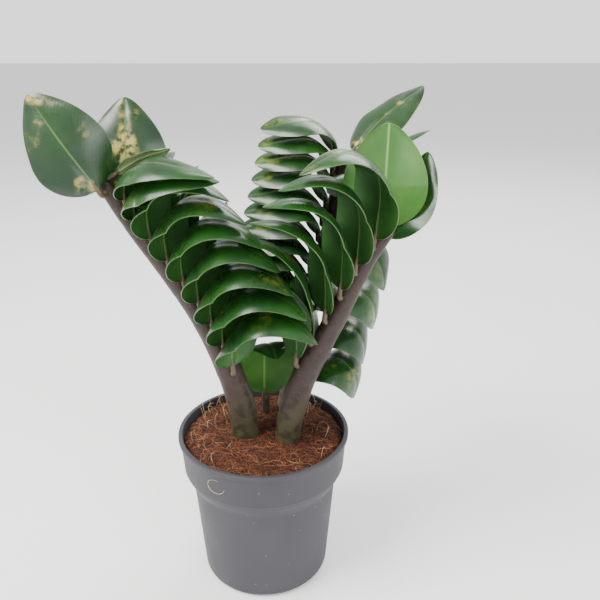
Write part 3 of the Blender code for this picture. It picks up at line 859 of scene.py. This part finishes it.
# %% Room to grow
LEAF_THICKNESS = 1.0 * MM
LEAF_GAP = 0.6 * MM
STEM_GAP = 0.3 * MM
STEM_SIDES = 12
POT_GAP = 0.6 * MM
POT_SIDES = 48
LEAF_ROWS = 9
LEAF_COLUMNS = 4
FREEDOM = dict(heading=9, rise=5, fall=26, lean=7, roll=7, twist=16, tilt=16)
SHORTENING = 0.12
TRIES_TO_FULL = 900
MOST_TRIES = 6000
SEED = 7


def leaf_shell(frames, leaf):
    """Surfaces of a leaflet with half the least gap around it, for testing its room."""
    lift = (LEAF_THICKNESS + LEAF_GAP) / 2
    upper = leaf_points(frames, leaf, LEAF_ROWS, LEAF_COLUMNS, lift)
    lower = leaf_points(frames, leaf, LEAF_ROWS, LEAF_COLUMNS, -lift)
    wide = LEAF_COLUMNS + 1
    count = len(upper)
    faces = []
    for i in range(LEAF_ROWS):
        for j in range(LEAF_COLUMNS):
            a = i * wide + j
            faces.append((a, a + 1, a + wide + 1, a + wide))
            faces.append((a + count, a + wide + count, a + wide + 1 + count, a + 1 + count))
        for a in (i * wide, i * wide + LEAF_COLUMNS):
            faces.append((a, a + wide, a + wide + count, a + count))
    return BVHTree.FromPolygons(upper + lower, faces)


def stem_shell(stem):
    """Rings around a stem, with the least gap to its leaflets."""
    places = []
    for k in range(0, STEM_STEPS + 1, 2):
        ahead = stem.line[min(k + 1, STEM_STEPS)]
        direction = (ahead - stem.line[max(k - 1, 0)]).normalized()
        across = direction.orthogonal().normalized()
        for s in range(STEM_SIDES):
            spoke = Quaternion(direction, 2 * pi * s / STEM_SIDES) @ across
            places.append(stem.line[k] + spoke * (stem.radii[k] + STEM_GAP))
    return shell_of_rings(places, STEM_SIDES)


def pot_shell():
    """The soil's top and the rim, with a gap to whatever hangs over them."""
    inner = SOIL_RADIUS - POT_GAP
    outer = RIM_RADIUS + POT_GAP
    top = POT_HEIGHT + POT_GAP
    profile = [(1 * MM, SOIL_TOP + SOIL_DOME + POT_GAP), (inner, SOIL_TOP + POT_GAP),
               (inner, top), (outer, top), (outer, LEDGE_Z)]
    angles = [2 * pi * s / POT_SIDES for s in range(POT_SIDES)]
    places = [Vector((r * cos(angle), r * sin(angle), z)) for r, z in profile for angle in angles]
    return shell_of_rings(places, POT_SIDES)


def shell_of_rings(places, sides):
    """Surface through rings of places that follow each other."""
    faces = []
    for ring in range(len(places) // sides - 1):
        for s in range(sides):
            a = ring * sides + s
            b = ring * sides + (s + 1) % sides
            faces.append((a, b, b + sides, a + sides))
    return BVHTree.FromPolygons(places, faces)


def nudged(leaf, chance, freedom):
    """Copy of a leaflet with small changes of its turns, and a little shorter."""
    changed = dict(leaf)
    for key, most in FREEDOM.items():
        changed[key] = leaf[key] + chance.uniform(-most, most) * freedom
    changed["length"] = leaf["length"] * (1 - SHORTENING * freedom * chance.random())
    return changed


def grow_leaflets(stems):
    """Leaflets in their final turns, each clear of the stems, the pot and the others."""
    shells = [stem_shell(stem) for stem in stems.values()] + [pot_shell()]
    grown = []
    for number, planned in enumerate(planned_leaflets()):
        chance = random.Random(SEED + number)
        for attempt in range(MOST_TRIES):
            leaf = nudged(planned, chance, attempt / TRIES_TO_FULL) if attempt else planned
            frames = midrib_frames(stems[leaf["stem"]], leaf)
            shell = leaf_shell(frames, leaf)
            if not any(shell.overlap(other) for other in shells):
                break
        else:
            raise RuntimeError(f"{planned['name']} finds no room")
        shells.append(shell)
        grown.append((leaf, frames))
    return grown


grown = grow_leaflets(stems)
apart = 0.0
for leaf, frames in grown:
    low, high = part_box(leaf["name"])
    points = [p + POT_MIDDLE for p in leaf_points(frames, leaf, LEAF_ROWS, LEAF_COLUMNS)]
    for axis in range(3):
        apart = max(apart, abs(min(p[axis] for p in points) - low[axis]) - LEAF_THICKNESS,
                    abs(max(p[axis] for p in points) - high[axis]) - LEAF_THICKNESS)
print(f"{len(grown)} leaflets grown, at most {apart / MM:.2f} mm beyond their solids' skins")

# %% [markdown]
# ## Stems
#
# The stems are thick and fleshy, swollen a little where each leaflet sits. Near the soil the skin
# is grey green. Higher up it is flushed with brown purple, with dark bands and pale corky specks.
# The line and the radii are the frame's, sampled more finely.

# %% Shape of the stems
SKIN_DEPTH = 20 * MM
SKIN_STEPS = 120
SWELL_LENGTH = 4.5 * MM
joints = {name: [] for name in stems}
for leaf, _ in grown:
    joints[leaf["stem"]].append(leaf["place"])


def stem_tube(name, stem):
    """Fine tube with a rounded tip, swollen by up to 4 percent at its leaflets."""
    curve = new_tubes(name + "_skin", 5)
    foot = stem.line[0] - (stem.line[1] - stem.line[0]).normalized() * SKIN_DEPTH
    points = [foot]
    radii = [stem.radii[0] * 0.9]
    for k in range(SKIN_STEPS + 1):
        share = k / SKIN_STEPS
        point, _, radius = stem.at(min(share, 0.9999))
        swell = sum(exp(-((share - joint) * stem.lengths[-1] / SWELL_LENGTH) ** 2)
                    for joint in joints[name])
        to_tip = (1 - share) * stem.lengths[-1] / radius
        tip = sqrt(max(1 - (1 - min(to_tip, 1)) ** 2, 0.02))
        points.append(point)
        radii.append(radius * (0.955 + 0.04 * min(swell, 1)) * tip)
    add_tube(curve, points, radii)
    return made_plain(show(curve.name, curve))


stem_skins = {name: stem_tube(name, stem) for name, stem in stems.items()}
for obj in stem_skins.values():
    smooth(obj, sharp_from=180)
print("skins on", ", ".join(stem_skins))

# %% Stem skin
def stem_finish(name, low, high, flush_from, flush_to):
    """Skin that is green grey below and brown purple above, between two heights."""
    material, tree, shader = new_finish(name)
    where = place_in_plant(tree)
    height = add(tree, "ShaderNodeSeparateXYZ", {0: where}).outputs["Z"]
    drift = cloudy(tree, where, scale=55.0, low=0.3, high=0.7, detail=4.0)
    uneven = sums(tree, "MULTIPLY_ADD", drift, 0.02, height)
    flush = stretch(tree, uneven, flush_from, flush_to)
    tone = blend(tree, flush, low, high)
    bands = cloudy(tree, where, scale=160.0, low=0.48, high=0.62, detail=3.0)
    dark = tuple(part * 0.45 for part in high)
    tone = blend(tree, sums(tree, "MULTIPLY", bands, 0.6), tone, dark)
    cork = speckled(tree, where, scale=520.0, size=0.16, share=0.16)
    tone = blend(tree, sums(tree, "MULTIPLY", cork, 0.5), tone, (0.20, 0.17, 0.12))
    feed(tree, shader, {
        "Base Color": tone,
        "Roughness": 0.5,
        "Specular IOR Level": 0.35,
        "Normal": grainy(tree, where, scale=420.0, strength=0.35, distance=0.5 * MM,
                         drawn_out=0.25),
    })
    return material


main_skin = stem_finish("stem_skin_look", (0.054, 0.052, 0.024), (0.036, 0.020, 0.016),
                        SOIL_TOP + 12 * MM, SOIL_TOP + 60 * MM)
small_skin = stem_finish("small_stem_look", (0.070, 0.070, 0.040), (0.050, 0.040, 0.035),
                         SOIL_TOP, SOIL_TOP + 30 * MM)
back_skin = stem_finish("back_stem_look", (0.18, 0.14, 0.10), (0.036, 0.020, 0.016),
                        SOIL_TOP + 26 * MM, SOIL_TOP + 60 * MM)
for name, obj in stem_skins.items():
    skin = {"small_stem": small_skin, "back_stem": back_skin}.get(name, main_skin)
    obj.data.materials.append(skin)
    finished(obj, "stem_skin", name)
print("stems finished")

# %% [markdown]
# ## Stalks
#
# Every leaflet hangs on a short round stalk. In the frame there's a small gap at each base, so
# that the solids stay apart. Here the stalk closes that gap: it starts inside the stem, turns
# into the leaflet's direction, and ends inside the blade.

# %% Stalks from the stems to the leaflets
STALK_STEPS = 12
STALK_RADIUS = 2.15 * MM
STALK_TAPER = 0.75 * MM
STALK_END = (1.15 * MM, 0.8 * MM, 0.35 * MM)
SLIM_LEAF_WIDTH = 14
stalk_curves = {name: new_tubes(name + "_stalks", 3) for name in stems}
for leaf, frames in grown:
    point, _, radius = stems[leaf["stem"]].at(leaf["place"])
    base = frames[0][0]
    out = (base - point).normalized()
    inner = point + out * radius * 0.55
    path = curve_through([inner, base - out * 0.2 * MM, frames[3][0], frames[7][0]],
                         STALK_STEPS + 1)
    thick = 1.0 if leaf["width"] > SLIM_LEAF_WIDTH else 0.7
    radii = [STALK_RADIUS - STALK_TAPER * k / STALK_STEPS for k in range(STALK_STEPS - 2)]
    radii = [radius * thick for radius in (*radii, *STALK_END)]
    add_tube(stalk_curves[leaf["stem"]], path, radii)

stalk_skin = stem_finish("stalk_look", (0.12, 0.11, 0.05), (0.105, 0.075, 0.044),
                         SOIL_TOP, SOIL_TOP + 60 * MM)
for name, curve in stalk_curves.items():
    obj = made_plain(show(curve.name, curve))
    smooth(obj, sharp_from=180)
    obj.data.materials.append(stalk_skin)
    finished(obj, "stem_skin")
print("stalks join", len(grown), "leaflets")

# %% [markdown]
# ## Leaflets
#
# A leaflet of this plant is thick and stiff. Its midrib lies in a shallow groove, each half swells
# gently between the groove and the edge, and the edge itself waves a little. The blade below is
# that surface on a fine grid, given its thickness by Solidify, which also hands the underside and
# the rim their own materials. Two UV layers come with it. `share` runs from edge to edge and from
# base to tip, and `size` gives the same places in centimetres, so a midrib can be equally wide
# on every leaflet.

# %% Shape of a blade
FINE_COLUMNS = 16
BLADE = 0.55 * MM
NECK_HALF_WIDTH = 1.2 * MM
POINT_HALF_WIDTH = 0.35 * MM
SWELL_HEIGHT = 0.42 * MM
GROOVE_DEPTH = 0.42 * MM
GROOVE_HALF_WIDTH = 0.85 * MM
WAVE_HEIGHT = 0.42 * MM
SWAY_HEIGHT = 0.35 * MM
FADE_SHARE = 0.12


def blade_half_width(u, width):
    """Half a blade's width: a narrow neck, then the leaflet's own outline to a fine tip."""
    neck = STALK_SHARE * 0.8
    x = min(max((u - neck) / (1 - neck), 0), 1)
    body = width * max(sin(pi * x ** WIDEST_POWER), 0) ** FULLNESS * (1 - NARROWING * x)
    return max(body, NECK_HALF_WIDTH if x < 0.5 else POINT_HALF_WIDTH)


def blade_lift(u, s, half, seed):
    """Height of a blade's surface over the leaflet's middle surface, s from edge to edge."""
    fade = min(u / FADE_SHARE, (1 - u) / FADE_SHARE, 1)
    swell = 4 * abs(s) * (1 - abs(s)) * SWELL_HEIGHT
    groove = exp(-(s * half / GROOVE_HALF_WIDTH) ** 2) * GROOVE_DEPTH
    side = 1 if s > 0 else 0.6
    wave = s * s * sin(2 * pi * (u * (2.3 + 0.3 * side) + seed * side)) * WAVE_HEIGHT
    sway = noise.noise(Vector((s * 1.1, u * 5, seed * 9))) * SWAY_HEIGHT
    return (swell - groove + wave + sway) * fade


def blade(leaf, frames, seed):
    """Fine mesh of a leaflet: upper side, underside and rim, with both UV layers."""
    shape = bmesh.new()
    share_layer = shape.loops.layers.uv.new("share")
    size_layer = shape.loops.layers.uv.new("size")
    bmesh.ops.create_grid(shape, x_segments=FINE_COLUMNS, y_segments=LEAF_STEPS, size=1)
    width = leaf["width"] * MM * LEAFLET_SCALE
    cup = leaf["cup"]
    for face in shape.faces:
        for loop in face.loops:
            s, u = loop.vert.co.x, (loop.vert.co.y + 1) / 2
            half = blade_half_width(u, width)
            loop[share_layer].uv = ((s + 1) / 2, u)
            loop[size_layer].uv = (s * half * 100, u * leaf["length"] * 0.1)
    for vert in shape.verts:
        s, u = vert.co.x, (vert.co.y + 1) / 2
        point, axes = frames[round(u * LEAF_STEPS)]
        half = blade_half_width(u, width)
        bow = cup * s
        normal = Vector((sin(bow), 0, cos(bow)))
        place = Vector((half * sin(bow) / cup, 0, -half * (1 - cos(bow)) / cup))
        vert.co = point + axes @ (place + normal * blade_lift(u, s, half, seed))
    mesh = bpy.data.meshes.new(leaf["name"] + "_blade")
    shape.to_mesh(mesh)
    shape.free()
    obj = show(mesh.name, mesh)
    solidify = obj.modifiers.new("Thickness", "SOLIDIFY")
    solidify.thickness = BLADE
    solidify.offset = 0
    solidify.material_offset = 1
    solidify.material_offset_rim = 2
    return obj


print("blades are", BLADE / MM, "mm thick")

# %% [markdown]
# ## Leaf finishes
#
# The upper side is deep green under a waxy coat, so it throws broad bright highlights. A pale
# midrib and a hairline pale edge draw each leaflet. Warm golden patches, mostly along the middle
# of a blade, are painted highlights of strong light on the wax. The underside is matt and paler,
# with a raised midrib, and a brighter copy of it paints the light on three leaflets' undersides.

# %% Parts of a leaf pattern
veins, into, out = new_effect("leaf_veins", {"Vector": 0, "Spacing": 3.2, "Slant": 1.3},
                              ["Across", "Side"])
parts = add(veins, "ShaderNodeSeparateXYZ", {0: into.outputs["Vector"]})
aside = sums(veins, "ABSOLUTE", parts.outputs["X"])
slanted = sums(veins, "SUBTRACT", parts.outputs["Y"],
               sums(veins, "MULTIPLY", aside, into.outputs["Slant"]))
ripple = sums(veins, "SINE", sums(veins, "MULTIPLY", slanted,
                                  sums(veins, "MULTIPLY", into.outputs["Spacing"], 2 * pi)))
veins.links.new(aside, out.inputs["Across"])
veins.links.new(sums(veins, "POWER", sums(veins, "MULTIPLY_ADD", ripple, 0.5, 0.5), 6.0),
                out.inputs["Side"])
print("made", veins.name)


def leaf_layers(tree):
    """What the leaf finishes share: distance from the midrib in cm, side veins, edge, place."""
    size = add(tree, "ShaderNodeUVMap", uv_map="size").outputs[0]
    share = add(tree, "ShaderNodeUVMap", uv_map="share").outputs[0]
    lines = effect(tree, veins, Vector=size)
    parts = add(tree, "ShaderNodeSeparateXYZ", {0: share})
    from_middle = sums(tree, "ABSOLUTE", sums(tree, "MULTIPLY_ADD", parts.outputs["X"], 2.0, -1.0))
    return lines.outputs["Across"], lines.outputs["Side"], from_middle, parts.outputs["Y"]


# %% Upper side
def upper_finish(name, deep, fresh, midrib, glint_gold, glint_amount, shine):
    """Waxy green between deep and fresh, with a pale midrib and edge and golden painted
    highlights.
    """
    material, tree, shader = new_finish(name)
    where = place_in_plant(tree)
    across, side_veins, from_middle, along = leaf_layers(tree)
    drift = cloudy(tree, where, scale=26.0, low=0.35, high=0.68, detail=3.0)
    tone = blend(tree, drift, deep, fresh)
    # Painted highlight: golden patches near the middle of a blade stand in for warm light glinting
    # on the wax.
    warm = cloudy(tree, where, scale=48.0, low=0.53, high=0.64, detail=2.5)
    glint_breakup = cloudy(tree, where, scale=260.0, low=0.36, high=0.58, detail=4.0)
    near_middle = stretch(tree, from_middle, 0.2, 0.8, 1.0, 0.1)
    painted_glint = sums(tree, "MULTIPLY", sums(tree, "MULTIPLY", warm, near_middle),
                  sums(tree, "MULTIPLY", glint_breakup, glint_amount))
    tone = blend(tree, painted_glint, tone, glint_gold)
    tone = blend(tree, sums(tree, "MULTIPLY", side_veins, 0.035), tone, midrib)
    rib = stretch(tree, across, 0.020, 0.075, 0.75, 0.0)
    tone = blend(tree, sums(tree, "MULTIPLY", rib, stretch(tree, along, 0.55, 1.0, 1.0, 0.35)),
                 tone, midrib)
    tone = blend(tree, stretch(tree, from_middle, 0.965, 1.0, 0.0, 0.5), tone, midrib)
    rough = cloudy(tree, where, scale=90.0, low=0.3, high=0.7, detail=3.0)
    ripples = add(tree, "ShaderNodeTexNoise", {"Vector": where, "Scale": 60.0, "Detail": 1.5})
    height = sums(tree, "MULTIPLY_ADD", side_veins, -0.05, ripples.outputs[0])
    rippled = bumped(tree, height, strength=0.30, distance=0.8 * MM)
    feed(tree, shader, {
        "Base Color": tone,
        "Roughness": stretch(tree, rough, 0, 1, shine, shine + 0.12),
        "Specular IOR Level": 0.42,
        "Coat Weight": 0.28,
        "Coat Roughness": 0.2,
        "Normal": grainy(tree, where, scale=1500.0, strength=0.10, distance=0.2 * MM,
                         under=rippled),
        "Coat Normal": rippled,
    })
    return material


leaf_upper = upper_finish("leaf_upper_look", (0.004, 0.030, 0.005), (0.012, 0.068, 0.008),
                          (0.09, 0.20, 0.035), (0.13, 0.17, 0.02), 0.8, 0.27)
# The tip leaflets get darker green and stronger golden painted highlights.
tip_upper = upper_finish("tip_leaf_upper_look", (0.004, 0.026, 0.006), (0.011, 0.048, 0.008),
                         (0.09, 0.17, 0.04), (0.42, 0.33, 0.10), 1.0, 0.27)
young_upper = upper_finish("young_leaf_upper_look", (0.13, 0.22, 0.07), (0.24, 0.34, 0.13),
                           (0.42, 0.50, 0.26), (0.34, 0.36, 0.14), 0.3, 0.2)
print("upper sides made")

# %% Underside and rim
def under_finish(name, deep, fresh, midrib):
    """Matt green between deep and fresh, with a raised paler midrib."""
    material, tree, shader = new_finish(name)
    across, side_veins, _, _ = leaf_layers(tree)
    drift = cloudy(tree, place_in_plant(tree), scale=40.0, low=0.35, high=0.7, detail=5.0)
    tone = blend(tree, drift, deep, fresh)
    tone = blend(tree, sums(tree, "MULTIPLY", side_veins, 0.05), tone, midrib)
    tone = blend(tree, stretch(tree, across, 0.035, 0.10, 0.85, 0.0), tone, midrib)
    height = sums(tree, "MULTIPLY_ADD", side_veins, 0.12, stretch(tree, across, 0.0, 0.12, 1, 0))
    feed(tree, shader, {
        "Base Color": tone,
        "Roughness": 0.55,
        "Specular IOR Level": 0.4,
        "Normal": bumped(tree, height, strength=0.5, distance=0.8 * MM),
    })
    return material


leaf_under = under_finish("leaf_under_look", (0.014, 0.070, 0.010), (0.028, 0.105, 0.015),
                          (0.10, 0.19, 0.05))
# Painted light: a brighter copy of the underside for three leaflets that the light falls on.
painted_lit_under = under_finish("painted_light_leaf_under_look", (0.032, 0.125, 0.014), (0.058, 0.175, 0.022),
                         (0.16, 0.32, 0.07))
young_under = under_finish("young_leaf_under_look", (0.16, 0.24, 0.09), (0.24, 0.33, 0.13),
                           (0.42, 0.50, 0.26))

leaf_rim, tree, shader = new_finish("leaf_rim_look")
worn = cloudy(tree, place_in_plant(tree), scale=120.0, low=0.4, high=0.6, detail=3.0)
feed(tree, shader, {
    "Base Color": blend(tree, worn, (0.020, 0.070, 0.012), (0.060, 0.120, 0.026)),
    "Roughness": 0.35,
})
print("undersides and rim made")

# %% Leaflets in place
furthest = 0.0
for number, (leaf, frames) in enumerate(grown):
    name = leaf["name"]
    obj = blade(leaf, frames, random.Random(number).random())
    if name.startswith("left_young"):
        sides = (young_upper, young_under)
    elif name in ("left_tip_leaflet", "left_crown_leaflet", "back_tip_leaflet"):
        sides = (tip_upper, leaf_under)
    # These three show their underside with painted light.
    elif name in ("right_tip_leaflet", "right_crown_leaflet", "small_leaflet"):
        sides = (leaf_upper, painted_lit_under)
    else:
        sides = (leaf_upper, leaf_under)
    for material in (*sides, leaf_rim):
        obj.data.materials.append(material)
    obj = made_plain(obj)
    smooth(obj, sharp_from=60)
    finished(obj, "young_leaf" if name.startswith("left_young") else "leaf", name)
    low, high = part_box(name)
    for vert in obj.data.vertices:
        for axis in range(3):
            furthest = max(furthest, low[axis] - vert.co[axis], vert.co[axis] - high[axis])
print(f"{len(grown)} leaflets, at most {furthest / MM:.2f} mm outside their solids' boxes")

# %% [markdown]
# ## Floor, light and camera
#
# The plant stands on a pale floor in a pale room. One large soft light from the upper left gives
# the leaves their highlights and lays a faint shadow to the right, and two weaker ones lighten
# the shade. The camera looks down a little, as one does at a plant on a low table.

# %% Floor
FLOOR_REACH = 30
corners = [(x * FLOOR_REACH, y * FLOOR_REACH, 0) for x, y in ((-1, -1), (1, -1), (1, 1), (-1, 1))]
floor_mesh = bpy.data.meshes.new("floor")
floor_mesh.from_pydata(corners, [], [(0, 1, 2, 3)])
floor = show("floor", floor_mesh)
floor_look, tree, shader = new_finish("floor_look")
faint = cloudy(tree, place_in_plant(tree), scale=6.0, low=0.3, high=0.7, detail=2.0)
feed(tree, shader, {
    "Base Color": blend(tree, faint, (0.86, 0.86, 0.86), (0.88, 0.88, 0.88)),
    "Roughness": 0.9,
    "Specular IOR Level": 0.2,
    "Emission Color": (1, 1, 1, 1),
    "Emission Strength": 0.3,
})
floor_mesh.materials.append(floor_look)
print("floor laid")

# %% Light
world = bpy.data.worlds.new("pale_room")
world.use_nodes = True
tree = world.node_tree
direction = add(tree, "ShaderNodeTexCoord").outputs["Generated"]
up = sums(tree, "ABSOLUTE", add(tree, "ShaderNodeSeparateXYZ", {0: direction}).outputs["Z"])
feed(tree, tree.nodes["Background"], {"Color": (1, 1, 1, 1),
                                      "Strength": stretch(tree, up, 0.10, 0.40, 1.7, 0.85)})
bpy.context.scene.world = world


def soft_light(name, place, size, power, colour=(1, 1, 1)):
    """Square area light that faces the middle of the plant."""
    data = bpy.data.lights.new(name, "AREA")
    data.size = size
    data.energy = power
    data.color = colour
    obj = bpy.data.objects.new(name, data)
    obj.location = POT_MIDDLE + Vector(place)
    aim = POT_MIDDLE + Vector((0, 0, 0.18)) - obj.location
    obj.rotation_euler = aim.to_track_quat("-Z", "Y").to_euler()
    look.objects.link(obj)


soft_light("window", (-0.75, -0.35, 1.25), 0.7, 34, (1.0, 0.985, 0.95))
soft_light("front_fill", (0.7, -1.2, 0.8), 1.0, 14, (0.96, 0.98, 1.0))
soft_light("back_fill", (0.5, 1.0, 1.5), 1.0, 22, (1.0, 1.0, 1.0))
print("lights set")

# %% Camera
camera_data = bpy.data.cameras.new("camera")
camera_data.lens = 38.78
camera = bpy.data.objects.new("camera", camera_data)
camera.location = POT_MIDDLE + Vector((0, -0.3999, 0.3605))
camera.rotation_euler = (radians(69.19), 0, radians(-3.70))
look.objects.link(camera)
bpy.context.scene.camera = camera
print("camera at", tuple(round(part, 3) for part in camera.location))
